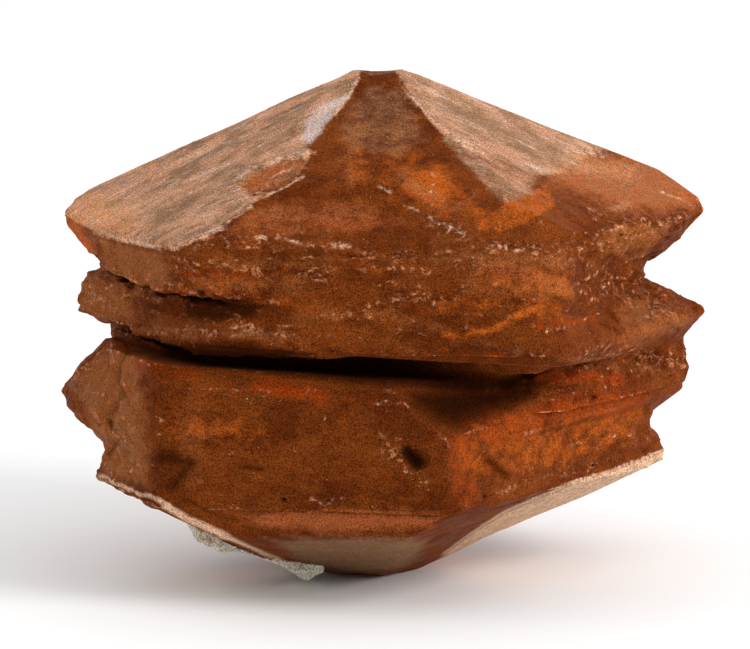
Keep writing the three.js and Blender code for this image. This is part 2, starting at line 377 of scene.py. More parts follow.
print("chips, cracks and pits:", len(CHIPS))

# %% [markdown]
# The relief is a sum of rows: a height in mm, where it goes, and its form, which is noise with lumps
# of the right size. A Displace modifier pushes the sum into the mesh. The overhang under the second
# tier is kept nearly plain, because thin edges there would fold over.

# %% Push the relief into the mesh
OVERHANG_CALM = 0.85

side_faces = band(slope, 60, 128, 8)
top_faces = (1 - ramp(slope, 50, 58)) * ramp(height, 17.9, 18.4)
furrowed = top_faces * (1 - band(facing, -32, 32, 8))
small_lumps = lumps(places, (0.9, 0.9, 0.6), 4, 14.0)
flaky_lumps = lumps(places, (1.1, 1.1, 0.4), 4, 17.0)
RELIEF = (
    (0.09, 1, lumps(places, (6, 6, 6), 2, 1.0)),
    (0.08, side_faces, lumps(places, (6, 6, 0.5), 4, 11.0)),
    (0.04, side_faces, small_lumps),
    (0.04, furrowed, lumps(places, (9, 0.6, 9), 3, 5.0)),
    (0.22, bridge, lumps(places, (2.4, 2.4, 0.8), 4, 8.0)),
    (0.2, knobs, lumps(places, (1.5, 1.5, 1.1), 4, 23.0)),
    (0.16, shoulder + crumbly_end, small_lumps),
    (0.12, crumbly_end, flaky_lumps),
    (0.2, flaky_rim, flaky_lumps),
    (0.18, ledge, flaky_lumps),
    (-0.16, chips, 1),
    (-0.1, chips, small_lumps),
)
overhang = band(height, 11.6, 13.9, 0.2) * front_side
relief = sum(height_mm * where * form for height_mm, where, form in RELIEF)
relief *= 1 - OVERHANG_CALM * overhang
push(crystal, "relief", relief)
print("relief in mm:", round(float(relief.min()), 2), "to", round(float(relief.max()), 2))

# %% [markdown]
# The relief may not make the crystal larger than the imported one, because other parts are fitted to
# that size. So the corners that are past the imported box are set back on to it.

# %% Keep the piece inside its box
low, high = (np.array(corner) / MM for corner in cad_box)
pushed = read_vectors(crystal, "co") / MM
inside = np.clip(pushed, low, high)
crystal.data.vertices.foreach_set("co", (inside * MM).ravel())
crystal.data.update()
print("corners set back:", int((pushed != inside).any(axis=1).sum()))

# %% [markdown]
# ## Colour zones
# The colour changes from place to place. The amber and red glow where light comes through the
# translucent crystal is painted light, the near-black in the grooves, the undercuts and the shadow
# under the second tier is painted shade, and the pale faces of the cap are partly dried skin and
# partly painted sheen. Each zone is a short list of marks, and each is stored on the mesh as a number
# for the shader. A number keeps the whole slope of a field, below 0 too, and a painted byte colour
# would not. The sides that the camera doesn't see get painted glow, skin, pale tops and flakes from
# wide noise.

# %% Amber glow and deep shade
FIELD_RANGE = (-1, 1.5)
PATCH_CONTRAST = 1.3


def store(piece, name, field):
    attribute = piece.data.attributes.new(name, "FLOAT", "POINT")
    attribute.data.foreach_set("value", np.clip(field, *FIELD_RANGE).astype(np.float32))


def far_patches(size_mm, start, amount):
    """Soft patches for the sides that the camera doesn't see: amount says how much they cover."""
    return far_side * (PATCH_CONTRAST * lumps(places, size_mm, 3, start) + amount + 1) - 1


# Painted light: amber glow where light comes through, and the lit face at the lower right front.
AMBER = (
    (0.0, 0.9, 0.75, [(1.5, 8), (3.2, 8.2), (4.3, 7.2), (3.8, 5.1), (2.6, 5.4), (0.8, 6.7), (1.5, 8)]),
    (1.4, 2.2, 0.3, [(1.2, 9.7), (1.2, 7.2)]),
    (0.0, 0.4, 0.5, [
        (4.9, 5.1), (6.4, 6.1), (7.8, 6.9), (8.8, 7.1), (9.1, 5.9), (7.6, 5), (6.4, 4.6), (5.2, 4.6),
        (4.9, 5.1),
    ]),
    (0.4, 1.2, 0.7, [(-11.2, 2.2), (-9.2, 1.6), (-6.8, 1.6), (-4.2, 1.2)]),
    (0.3, 0.4, 1.2, [(3.5, -0.6), (5.8, -0.3), (7, 0.4), (8.5, 1)]),
    (0.6, 1.8, 0.3, [(3.2, 1.2), (9.2, 0.6)]),
    (0.0, 1.2, 0.35, [
        (3.8, -5.8), (8.5, -3.8), (13.8, -3.9), (13, -5.8), (9.2, -7.3), (6.2, -7.8), (3.9, -7.3),
        (3.8, -5.8),
    ]),
    (0.6, 1.5, 0.3, [(5.2, -5.3), (8.5, -4.4), (12.2, -4)]),
    (0.5, 0.4, 1.5, [(-15.2, 5.1), (-14.3, 3.6)]),
    (0.8, 2.0, 0.25, [(-9.8, -5), (-6.2, -5.3)]),
    (0.3, 1.2, 0.3, [(-6.8, -9.8), (-2.2, -9.9), (1.2, -9.8)]),
    (1.0, 2.0, 0.35, [(5.8, 2.3), (9.2, 2)]),
    (0.6, 1.6, 0.55, [(-8.8, 2.2), (-4.2, 2.5)]),
    (1.0, 2.5, 0.35, [(-0.8, 10.2), (-0.8, 7.7)]),
    (0.5, 1.0, 0.7, [(3.6, 7), (5.2, 5.6)]),
    (0.3, 0.8, 0.6, [(3.8, 6.2), (5, 5.7)]),
)
# Painted shade: the grooves, the undercuts, the shadow under the second tier and the dark top of the
# front face, with some dark pits and spots.
DEEP = (
    (0.3, 0.9, 0.4, [(-0.5, 11.8), (-1.5, 10.7), (-2.2, 9.5), (-2.9, 8.2)]),
    (0.1, 0.5, 0.5, [(-12.3, 1.1), (-10.2, 1.1), (-9.2, 1.1), (-9.2, 0.3), (-10.5, 0.4), (-12.3, 1.1)]),
    (0.25, 0.5, 0.9, [
        (-9.5, 1.1), (-8, 1.1), (-6.8, 1.2), (-5.5, 0.8), (-6.2, 0.3), (-8.5, 0.2), (-9.5, 0.3),
        (-9.5, 1.1),
    ]),
    (0.3, 0.6, 1.3, [
        (-12.5, -0.8), (-8.8, -0.9), (-6.2, -0.9), (-4.5, -1.5), (-2.2, -1.9), (1.2, -2), (3.8, -2.1),
        (6.2, -2.4), (8.7, -2.8), (7.8, -3.4), (5.2, -3.7), (2.2, -3.3), (-1.2, -3), (-3.8, -2.7),
        (-6.5, -2.3), (-8.8, -2.2), (-11.2, -1.7), (-12.5, -0.8),
    ]),
    (0.35, 0.9, 1.3, [
        (1.2, -3.2), (3.8, -3), (6.2, -2.9), (8.8, -2.5), (8.1, -3.8), (7, -4.3), (5.8, -4.5), (4, -5.3),
        (2.9, -5), (1.8, -4.2), (1.2, -3.2),
    ]),
    (0.5, 1.2, 0.6, [(-11.2, -2), (-3.8, -3.1), (1.2, -3.6)]),
    (0.3, 1.0, 0.7, [(-1.2, -1.8), (3.8, -2), (8.2, -2.2)]),
    (0.05, 0.35, 1.3, [
        (-10.5, -1.1), (-8.8, -1), (-6.2, -1), (-4.5, -1.2), (-2.8, -1.6), (-1.2, -1.9), (-2.2, -2.3),
        (-6.2, -2.2), (-8.8, -1.8), (-10.5, -1.4), (-10.5, -1.1),
    ]),
    (0.4, 0.5, 1.2, [(-12.2, -1.3), (-9.2, -1.6), (-6.2, -2), (-3.8, -2.3)]),
    (0.1, 0.5, 0.9, [(-7.7, -3), (-6.3, -3)]),
    (0.6, 0.4, 1.3, [(1.6, -6.4), (2.1, -6.9)]),
    (0.1, 0.3, 0.9, [(2.6, -6.1), (2.9, -7.3)]),
    (0.7, 0.9, 0.85, [(-10.7, -6.5), (-9.2, -6.9), (-10.1, -8.1)]),
    (0.3, 0.4, 0.9, [(-6.7, -7.1), (-5.7, -7.2)]),
    (0.5, 0.6, 0.9, [(5.7, -6.8), (6.5, -7.5)]),
    (0.1, 0.5, 0.6, [(4.7, -8.4), (5.5, -8.8)]),
    (0.15, 0.3, 0.9, [(-2.9, -8.5), (-2.4, -8.7)]),
    (0.2, 0.4, 1.0, [(-9.9, -8.6), (-8, -9.5), (-6.8, -9.8)]),
    (0.12, 0.25, 1.2, [(-14.1, -4.9), (-13.8, -5.1)]),
    (0.12, 0.25, 1.0, [(-12.9, -5.1), (-12.8, -5.4)]),
    (0.1, 0.3, 1.0, [(-13.2, -6.2), (-13.1, -6.8)]),
    (0.15, 0.5, 0.9, [(-12.8, 0.4), (-12.6, 0.1)]),
    (0.3, 0.8, 0.5, [(14, 0.2), (15.5, -0.3)]),
    (0.2, 0.6, 0.5, [(-1.1, -7.3), (-0.1, -7.7)]),
    (0.2, 0.4, 0.9, [
        (-12.3, -1.1), (-12.9, -2.2), (-12.7, -3.4), (-13.2, -4.5), (-12.8, -5.7), (-13.3, -6.5),
    ]),
    (0.3, 0.6, 0.6, [(11.3, 0.1), (12.3, -0.4)]),
    (0.4, 0.7, 0.8, [(4.5, -1.2), (6.8, -1.3)]),
    (0.4, 0.45, 1.1, [(-11.8, -1), (-8.8, -1.2), (-5.8, -1.4), (-3, -1.7)]),
    (0.12, 0.2, 0.9, [(13.7, 1.1), (13.8, 0.3)]),
    (0.12, 0.2, 0.9, [(11.8, 0.4), (12.2, 0.1)]),
    (0.12, 0.2, 0.8, [(14.7, 0.1), (15.2, -0.3)]),
    (0.12, 0.2, 0.8, [(14.2, 4.6), (14.7, 4.2)]),
)
store(crystal, "amber", np.maximum(mark_field(AMBER), far_patches((7, 7, 3), 21.0, 0.0)))
print("amber marks:", len(AMBER), "deep marks:", len(DEEP))

# %% [markdown]
# The grooves are painted dark as shade, more where a corner is more sheltered. How sheltered a
# corner is can be measured: rays are sent out from it, and the share that meets the crystal again
# within a few millimetres counts. Rendered shadow alone would leave the grooves too pale.

# %% Shelter
SHELTER_REACH_MM = 3.5
RAY_LIFT_MM = 0.05
SHADED_FROM = 0.5
SHADE_GAIN = 3.4
RAYS = 14
GOLDEN_ANGLE = math.pi * (3 - math.sqrt(5))


def measure_shelter(piece):
    tree = BVHTree.FromPolygons(
        [vertex.co for vertex in piece.data.vertices],
        [tuple(face.vertices) for face in piece.data.polygons],
    )
    spread_rays = []
    for index in range(RAYS):
        rise = 1 - (index + 0.5) / RAYS
        turn = index * GOLDEN_ANGLE
        flat = math.sqrt(1 - rise * rise)
        spread_rays.append(Vector((flat * math.cos(turn), flat * math.sin(turn), rise)))
    share = np.zeros(len(piece.data.vertices))
    for vertex in piece.data.vertices:
        lean = vertex.normal.to_track_quat("Z", "Y")
        start = vertex.co + vertex.normal * RAY_LIFT_MM * MM
        met = [tree.ray_cast(start, lean @ ray, SHELTER_REACH_MM * MM)[0] for ray in spread_rays]
        share[vertex.index] = sum(place is not None for place in met) / RAYS
    return share


shelter = measure_shelter(crystal)
# Painted shade: the deep zone is the marks and the sheltered corners.
painted_shade_marks = np.where(depth < 0, mark_field(DEEP, turned_away=-0.9), -1)
store(crystal, "deep", np.maximum(painted_shade_marks, SHADE_GAIN * (shelter - SHADED_FROM)))
print("sheltered corners:", int((shelter > SHADED_FROM).sum()))

# %% [markdown]
# The red glow round the dark grooves is painted light, where only a little light would get through.
# The skin is a duller brown film on the rough ends and the faces under the cap. On the rims of the cap
# and on the bevel near the foot it is thinner, and the resin under it turns it salmon.

# %% Red glow, brown skin and salmon
# Painted light: red glow round the grooves and on the lower right front.
EMBER = (
    (0.5, 1.0, 0.9, [(-11.8, -2), (-8.8, -2.5)]),
    (0.7, 0.9, 1.2, [(-5.7, -3), (-2.9, -3.5)]),
    (0.3, 1.2, 0.45, [(-2.2, -3.7), (1, -3.9)]),
    (0.6, 0.9, 0.9, [(7.8, -2.7), (9.8, -2.6), (12.2, -2.8)]),
    (0.0, 0.25, 0.32, [
        (3.6, -5.6), (4.8, -5.3), (5.3, -5.9), (5, -7.3), (5.2, -8.8), (4.5, -9.2), (3.8, -8.5),
        (3.6, -5.6),
    ]),
    (0.5, 1.2, 0.6, [(-9.7, 2.6), (-6, 2.5)]),
    (0.3, 0.8, 0.7, [(-8.2, 1.4), (-4.2, 1), (-3.2, 0.6)]),
    (0.4, 0.9, 1.2, [(8, -0.1), (10.8, 0.2)]),
    (1.2, 2.0, 0.45, [(6, -5.4), (9.2, -4.2), (12.8, -3.8)]),
    (0.6, 1.2, 0.3, [(-5.2, 5.5), (-1.2, 5.2)]),
)
SKIN = (
    (0.3, 0.6, 0.9, [(-13.8, 4.3), (-10.5, 3.5), (-10.3, 1.9), (-12.3, 1.4), (-13.3, 2.2), (-13.8, 4.3)]),
    (0.2, 0.6, 1.2, [
        (-15.2, 2), (-13.8, 2.9), (-12.2, 1.2), (-12.2, 0.2), (-13.5, 0), (-14.8, 0.7), (-15.2, 2),
    ]),
    (0.1, 0.8, 0.95, [
        (-15.3, -2.5), (-13.5, -1), (-11.8, -1.4), (-11.2, -3.8), (-11, -8.3), (-13.9, -7.7),
        (-15.3, -2.5),
    ]),
    (0.4, 0.9, 0.5, [(-12, -0.3), (-8, -0.4), (-3.8, -0.9)]),
    (0.5, 1.0, 0.4, [(-3.8, 0.5), (0.2, 0.6), (3.8, -0.3)]),
    (0.0, 0.9, 0.7, [(11.2, 5.1), (16.2, 5.7), (13.5, 3.1), (11.2, 3.1), (11.2, 5.1)]),
    (0.0, 0.9, 0.6, [(11.7, 2), (16.2, 0.7), (15.8, -0.5), (12.2, -1.3), (11.7, 2)]),
    (0.4, 0.9, 0.55, [(9.2, -1.7), (14.8, -2.4)]),
    (0.9, 1.4, 0.4, [(-9.3, -4.4), (-9.2, -7.6)]),
    (1.2, 2.5, 0.5, [(-1.2, 10.7), (-1.2, 7.2)]),
    (1.0, 1.4, 0.9, [(3.2, 3.5), (9.2, 3.1)]),
    (0.8, 1.2, 0.6, [(4.8, 2), (9.8, 1.7)]),
    (0.6, 1.2, 0.7, [(-8, 3.1), (-2.2, 3.1)]),
    (0.8, 1.2, 0.6, [(-8.8, 1.9), (-3.8, 2.1)]),
    (0.6, 1.2, 0.45, [(-6.2, 5.5), (-0.8, 5.5)]),
)
SALMON = (
    (0.2, 0.9, 1.0, [
        (8.5, 7), (9.2, 8.7), (16.2, 8.7), (17.8, 6), (15.8, 5.6), (14, 5.5), (12.2, 5.6), (10.4, 6.3),
        (8.5, 7),
    ]),
    (0.4, 0.8, 0.8, [(3.9, 5.8), (5, 6.5)]),
    (0.8, 1.4, 0.75, [(5.5, 3), (9.2, 2)]),
    (1.8, 2.4, 1.2, [(-15.8, 5.6), (-12.8, 5.3)]),
    (0.0, 0.6, 0.9, [
        (-7.8, -9.3), (-3.8, -9.1), (1.2, -9.1), (3.8, -9.4), (3, -10.4), (-2.2, -10.6), (-5.7, -10.4),
        (-7.8, -9.3),
    ]),
    (0.3, 0.8, 0.6, [(-8.8, 4.4), (-5.8, 4.3), (-1.5, 3.8)]),
    (0.0, 1.0, 0.4, [(-6.2, 6), (-3.8, 6.7), (0, 6.2), (2.8, 4.8), (-3.8, 4.2), (-8.2, 4.2), (-6.2, 6)]),
    (0.2, 1.0, 0.6, [(-13.2, 7.3), (-8.8, 9.2)]),
    (0.3, 0.5, 0.8, [(-12.2, 7.7), (-11.1, 8)]),
    (0.1, 0.4, 1.0, [
        (-7, 6.9), (-6.2, 7.7), (-4.8, 8.2), (-3.1, 8.6), (-3.8, 7.6), (-4.8, 7), (-6.2, 6.6), (-7, 6.9),
    ]),
)
store(crystal, "ember", np.maximum(mark_field(EMBER), far_patches((6, 6, 2.5), 31.0, -0.2)))
store(crystal, "skin", np.maximum(mark_field(SKIN), far_patches((8, 8, 4), 41.0, 0.3)))
store(crystal, "salmon", mark_field(SALMON))
print("ember, skin and salmon marks:", len(EMBER) + len(SKIN) + len(SALMON))

# %% [markdown]
# Minerals of this group can lose water in dry air, and then their skin turns pale. The pale faces of
# the cap are partly that dried skin and partly painted sheen, the bluish-white patch and lines on them
# are a painted highlight, and ash is where they are brown and dull. Chalk is a thin white line on a
# broken ridge, flakes are rough pale patches, and the pale strip along the lower edges is a painted
# reflection of the floor. The chipped patch on the cap is fresher, so it keeps less of the pale layer.

# %% Dried skin and painted sheen, painted highlight, chalk, ash, flakes and painted reflection
ETCH_AND_SHEEN_LIMIT = 0.95
CHIPPED_LOSS = 0.8
# Partly dried skin and partly painted sheen on the faces of the cap.
ETCH_AND_SHEEN_MARKS = (
    (0.0, 0.15, 1.0, [
        (-1.8, 13.5), (-0.6, 12.7), (-0.9, 11.9), (-1.4, 11.2), (-1.9, 10.5), (-2.6, 9.7), (-3.3, 8.9),
        (-3.1, 8.5), (-3.8, 7.4), (-4.8, 6.9), (-5.7, 6.4), (-6.2, 6), (-7, 5.4), (-8, 4.6), (-9.2, 4),
        (-10.2, 3.8), (-11.2, 3.8), (-12.8, 4.1), (-14, 4.6), (-15.1, 5.1), (-16.2, 5.6), (-15.8, 7.2),
        (-1.8, 13.5),
    ]),
    (0.0, 0.2, 1.0, [
        (0.5, 13.2), (1.1, 12.4), (1.8, 11.3), (2.6, 10.2), (3.5, 9.2), (4.8, 8.7), (6.1, 8.2),
        (7.8, 7.5), (9.2, 7.4), (10.4, 8.2), (11.2, 8.7), (13.2, 8.7), (6.2, 13.2), (0.5, 13.2),
    ]),
    (0.2, 0.6, 0.6, [
        (3.5, 9.4), (6.1, 8.4), (8.2, 7.6), (7.8, 6.5), (6.5, 6.1), (5.8, 6.8), (4.5, 8.1), (3.5, 9.4),
    ]),
    (0.8, 1.6, 0.4, [(9.2, 8), (12.8, 7.6)]),
    (0.3, 0.6, 0.7, [(11.8, 5.8), (12.7, 6)]),
)
# Painted highlight: the bluish-white patch beside the left ridge of the cap and a few pale lines.
PAINTED_HIGHLIGHT_MARKS = (
    (0.2, 0.3, 1.0, [
        (-1.4, 11.5), (-2, 10.8), (-2.8, 9.7), (-3.2, 9.1), (-3.6, 9.3), (-3.4, 10.1), (-2.6, 10.9),
        (-1.4, 11.5),
    ]),
    (0.1, 0.6, 0.7, [(-9, 9.3), (-6.2, 10)]),
    (0.1, 0.6, 0.5, [(2.5, 11.2), (5, 10)]),
    (0.1, 0.5, 0.8, [(9.7, 8.8), (11.8, 8.6)]),
    (0.1, 0.3, 0.9, [(-13.6, -7), (-13.3, -7.4)]),
    (0.15, 0.6, 0.5, [(2.8, 10.3), (3.5, 9.6)]),
    (0.1, 0.6, 0.5, [(-11.8, 7.6), (-9.2, 7.6)]),
)
CHALK = (
    (0.12, 0.2, 0.9, [(0.2, 6.9), (0.8, 6.6)]),
    (0.12, 0.2, 0.9, [(1.5, 5.9), (2.6, 5.4), (3.5, 4.8)]),
    (0.1, 0.3, 0.9, [(3.5, 4.9), (4, 4.6)]),
    (0.1, 0.15, 1.5, [(2.8, 7.5), (3.1, 7.3)]),
    (0.08, 0.12, 1.4, [(3, 7), (2.9, 6.9)]),
    (0.1, 0.15, 1.5, [(2.6, 6.5), (3, 6.7)]),
    (0.05, 0.2, 0.8, [(2.6, 5.8), (2.9, 6)]),
    (0.14, 0.2, 0.9, [(-0.8, 12.4), (-1.4, 11.3), (-2, 10.5)]),
    (0.15, 0.25, 0.8, [(-14, 4.6), (-11.2, 3.9), (-9.9, 3.8), (-8.1, 4.6), (-6.2, 5.9)]),
    (0.12, 0.15, 0.7, [(-6.2, 6.1), (-4.8, 6.8), (-3.6, 7.4)]),
    (0.15, 0.2, 1.0, [(-8.5, 4.4), (-7.5, 4.8)]),
    (0.15, 0.2, 1.0, [(-5.9, 4.4), (-5.4, 4.3)]),
    (0.14, 0.2, 1.0, [(-4.5, 4.3), (-3.8, 4.1)]),
    (0.14, 0.2, 1.0, [(-2.1, 4.1), (-1.2, 3.9)]),
    (0.15, 0.3, 0.7, [(5.8, 3.9), (7.5, 3.7)]),
    (0.15, 0.3, 0.7, [(3.5, 5), (4.5, 4.5)]),
    (0.1, 0.4, 0.8, [(8.3, 5.1), (8.6, 4.9)]),
    (0.06, 0.2, 0.9, [(-10.3, 2.1), (-10.1, 1.8)]),
    (0.06, 0.3, 0.8, [(5.2, 8.3), (5.8, 8.3)]),
    (0.06, 0.3, 0.8, [(6, 7.9), (6.2, 7.5)]),
    (0.15, 0.25, 0.8, [(-7, 7.2), (-6.2, 7.8), (-4.8, 8.3), (-3.1, 8.6)]),
    (0.12, 0.25, 0.7, [(-5.7, 6.9), (-5.2, 7.5), (-4, 8)]),
    (0.05, 0.3, 0.8, [(13.2, 0.4), (14, 0.3)]),
    (0.05, 0.3, 0.8, [(11.8, -2.3), (12.5, -2)]),
    (0.12, 0.2, 0.9, [(0.2, -4), (0.8, -3.7)]),
    (0.12, 0.12, 1.2, [(-2.5, -4.7), (-2.5, -4.8)]),
    (0.1, 0.3, 0.9, [(-13.6, -6.9), (-13.2, -7.5)]),
    (0.12, 0.25, 0.8, [(-3.2, -8.7), (-2.9, -8.9), (-2.5, -9), (-2, -8.8), (-1.8, -8.7)]),
    (0.05, 0.3, 0.7, [(1, -0.4), (2.8, -0.5)]),
    (0.12, 0.12, 1.4, [(2.8, 1.2), (2.9, 1.1)]),
    (0.1, 0.3, 0.9, [(14.2, 6.7), (16, 6)]),
    (0.06, 0.3, 0.9, [(1, -6.7), (1.2, -7.3), (1.9, -7.5)]),
    (0.15, 0.5, 0.5, [(-10.9, 7.7), (-8.9, 8.6), (-6.4, 9.5)]),
    (0.12, 0.5, 0.45, [(-9.5, 7.2), (-7, 8.2), (-5.7, 9)]),
    (0.12, 0.15, 0.8, [(-9.3, 6.6), (-9.2, 6.6)]),
    (0.1, 0.15, 0.8, [(-8, 7.1), (-7.9, 7.1)]),
    (0.12, 0.4, 0.5, [(-11.8, 5.3), (-10.8, 5.6)]),
    (0.2, 0.6, 0.5, [(-14.9, 5.6), (-13.8, 5.1)]),
    (0.12, 0.5, 0.5, [(1.9, 11.9), (4.2, 11.1), (6.6, 10)]),
    (0.12, 0.5, 0.5, [(1.4, 11.5), (3.8, 9.6), (5.8, 8.3)]),
    (0.12, 0.5, 0.45, [(3.7, 10.7), (6.2, 9.3), (8.5, 8)]),
    (0.2, 0.4, 0.6, [(9.6, 8.8), (11.4, 8.4)]),
    (0.12, 0.2, 0.6, [(1.2, 12.2), (2.8, 10.3), (4.8, 8.7)]),
    (0.15, 0.5, 0.5, [(-14.5, 1.7), (-13.5, 1.2)]),
)
ASH = (
    (0.0, 0.6, 1.3, [
        (-5.7, -10.6), (-3.8, -10.4), (1.2, -10.4), (3, -10.6), (2.2, -11.9), (1.2, -12.5),
        (-1.5, -12.8), (-3.8, -12.2), (-5.7, -10.6),
    ]),
    (0.8, 1.5, 0.35, [(-11.2, 5.3), (-8.5, 6.7), (-6.2, 8.1)]),
    (0.6, 1.4, 0.4, [(-6, 8.7), (-4.2, 9.7)]),
    (0.2, 0.3, 0.9, [(-5.2, 7.2), (-4, 7.8)]),
    (0.0, 1.4, 0.5, [
        (-0.5, 12.3), (1.2, 12.2), (3.2, 9.2), (1.2, 8), (-1.5, 8.5), (-2.2, 10), (-0.5, 12.3),
    ]),
    (0.5, 1.6, 0.25, [(-5.5, 5.5), (-0.8, 5.5)]),
    (0.6, 1.2, 0.3, [(1.4, 7.3), (3.2, 6)]),
    (1.2, 1.6, 0.62, [(3.8, 11), (6.2, 9.8), (9.5, 8.2)]),
    (0.6, 0.9, 0.35, [(-15, -3), (-14.2, -3.8)]),
    (0.5, 1.0, 0.3, [(-12.8, -3.8), (-12, -6.8)]),
    (0.5, 1.0, 0.5, [(4, 8.8), (6.7, 6.7)]),
    (0.4, 1.2, 0.35, [(7.2, 9.1), (9.1, 8)]),
    (0.3, 1.0, 0.35, [(-10.8, -0.3), (-4.2, -0.5)]),
    (0.3, 0.8, 0.5, [(5.2, -1), (7.2, -1.4)]),
    (1.2, 1.5, 0.3, [(11.2, 7.5), (14.2, 7)]),
)
FLAKES = (
    (0.6, 1.0, 0.9, [(-9, 4.3), (-6.2, 4.2), (-3.8, 3.9), (-1.5, 3.8)]),
    (0.5, 1.4, 0.5, [(-1.5, 3.7), (2.8, 3.4)]),
    (0.5, 1.0, 0.9, [(2.8, 5), (4.8, 4.2), (8.2, 3.8)]),
    (0.4, 1.4, 0.45, [(-8.2, 5), (-2.2, 4.6)]),
    (0.6, 1.4, 0.5, [(4.8, 3.1), (10.2, 2.9)]),
    (0.5, 1.0, 0.5, [(0.2, 2), (3.8, 1.2)]),
    (0.5, 1.2, 0.55, [(8.2, 3.7), (11.2, 4), (13.5, 4.5)]),
    (0.4, 0.8, 0.6, [(-8.8, 2.8), (-2.2, 2.5)]),
    (0.8, 1.2, 0.75, [(11.5, 2), (15.2, 0.6)]),
    (0.8, 1.2, 0.75, [(10.8, -1.4), (15.2, -1.7)]),
    (0.7, 1.2, 0.75, [(11.8, 5), (15.2, 5.1)]),
    (0.6, 0.8, 1.0, [(-15, -2.5), (-13.3, -1.2)]),
    (0.3, 0.6, 0.8, [(-14.5, 2.1), (-13.5, 2.7)]),
    (0.5, 1.2, 0.5, [(-13.2, -0.3), (-4.8, -0.4)]),
    (0.6, 1.0, 0.5, [(-14, -3.8), (-12.2, -7.3)]),
    (0.4, 0.8, 0.6, [(0.2, -5.8), (2.8, -8.3)]),
    (0.3, 0.8, 0.6, [(6.2, -8.3), (13.2, -6.4)]),
    (0.3, 0.8, 0.6, [(-11.2, 3.1), (-8.2, 2)]),
    (0.2, 0.6, 0.6, [(-2.8, -9), (-1.5, -9.3)]),
    (0.3, 0.5, 1.0, [(-6.8, 6.9), (-5.7, 8), (-3.8, 8.5), (-3.4, 8), (-4.5, 7), (-6.2, 6.6)]),
)
# Painted reflection of the pale floor on the strips along the lower edges.
FLOOR_REFLECTION_MARKS = (
    (0.2, 0.2, 1.2, [(-13.8, -7.6), (-12.2, -8.3), (-11, -8.8)]),
    (0.28, 0.2, 1.4, [(-11, -8.8), (-9.4, -9.7), (-7.4, -10.6)]),
    (0.2, 0.2, 1.2, [(-7.4, -10.6), (-5.7, -11.4), (-4.2, -12)]),
    (0.0, 0.15, 0.8, [
        (14.7, -6.2), (13.1, -6.8), (11.4, -7.4), (9.1, -8.3), (6.5, -9.4), (5.2, -10.2), (3.4, -11.5),
        (2.5, -12.1), (3.2, -12.5), (9.2, -10.8), (15.2, -7.3), (14.7, -6.2),
    ]),
    (0.12, 0.15, 1.1, [
        (14.7, -6.2), (13.1, -6.8), (11.4, -7.4), (9.1, -8.3), (6.5, -9.4), (5.2, -10.2), (3.4, -11.5),
    ]),
    (0.14, 0.2, 1.1, [(14.4, -6.6), (11.2, -8.2), (8.5, -9.6), (5.8, -10.9), (3.2, -12.1)]),
)
# Top faces on the far sides: partly dried skin, partly painted sheen.
etch_and_sheen_tops = top_faces * (far_patches((5, 5, 5), 51.0, 0.9) + 1) - 1
etch_and_sheen_cap = ETCH_AND_SHEEN_LIMIT - CHIPPED_LOSS * mark_field([CHIPPED_PATCH])
store(crystal, "etch_and_sheen", np.minimum(np.maximum(mark_field(ETCH_AND_SHEEN_MARKS), etch_and_sheen_tops), etch_and_sheen_cap))
store(crystal, "floor_reflection", mark_field(FLOOR_REFLECTION_MARKS, turned_away=-0.6))
store(crystal, "flakes", np.maximum(mark_field(FLAKES), far_patches((4, 4, 1.2), 61.0, 0.0)))
store(crystal, "painted_highlight", mark_field(PAINTED_HIGHLIGHT_MARKS))
store(crystal, "chalk", mark_field(CHALK))
store(crystal, "ash", mark_field(ASH))
print("zones stored:", [name for name in crystal.data.attributes.keys() if not name.startswith(".")])

# %% [markdown]
# Rims are found by smoothing the shape for a moment: a corner that sinks in stood out, and one that
# rises was in a cleft. Then every corner is set back. Pale flakes, partly painted glints, gather on
# what stands out. The crust under the lower left edge is whatever lies below the two underside faces
# that it grew on, and each of those is given by a point on it and the direction that it faces.

# %% Rims and crust
RIM_PASSES = 8
RIM_HEIGHT_MM = 0.05
RIM_FROM = 0.4
UNDERSIDES = (
    ((-0.4, -2.2, 0), (-0.052, -0.371, -0.927)),
    ((-14.2, -2.3, 5.12), (-0.421, -0.170, -0.891)),
)
CRUST_TOP_MM = 3.4
CRUST_END_MM = -2.6


def stands_out_mm(piece, passes):
    before = read_vectors(piece, "co")
    outward = read_vectors(piece, "normal")
    wear(piece, "measure", np.ones(len(before)), passes)
    after = read_vectors(piece, "co")
    piece.data.vertices.foreach_set("co", before.ravel())
    piece.data.update()
    return ((before - after) * outward).sum(axis=1) / MM


store(crystal, "furrowed", 2 * furrowed - 1)
rim = stands_out_mm(crystal, RIM_PASSES) / RIM_HEIGHT_MM - RIM_FROM
store(crystal, "rim", rim)

below = np.maximum.reduce([(places - point) @ np.array(direction) for point, direction in UNDERSIDES])
crusted = ramp(below, 0.02, 0.1) * (height < CRUST_TOP_MM) * (across < CRUST_END_MM)
store(crystal, "crust", 2 * crusted - 1)
print("rim corners:", int((rim > 0).sum()), "crust corners:", int((crusted > 0.5).sum()))

# %% [markdown]
# ## The resin-like finish
# The colours are mixed in layers, from the dark resin up to the pale specks. Some light enters the
# skin and comes back redder, which Subsurface does, and thin edges light up. Fine grain and bump
# come from noise that is measured in the piece's own Object coordinates. Each helper below adds a
# node or two, so that a layer of the finish takes one or two lines.

# %% Node helpers
def new_material(name):
    material = bpy.data.materials.new(name)
    material.use_nodes = True
    material.node_tree.nodes.clear()
    return material


def feed(tree, socket, value):
    """Sets a socket to a number or a colour, or links it to another node's output."""
    if isinstance(value, (int, float)):
        socket.default_value = value
    elif isinstance(value, tuple):
        socket.default_value = (*value, 1)
    else:
        tree.links.new(value, socket)


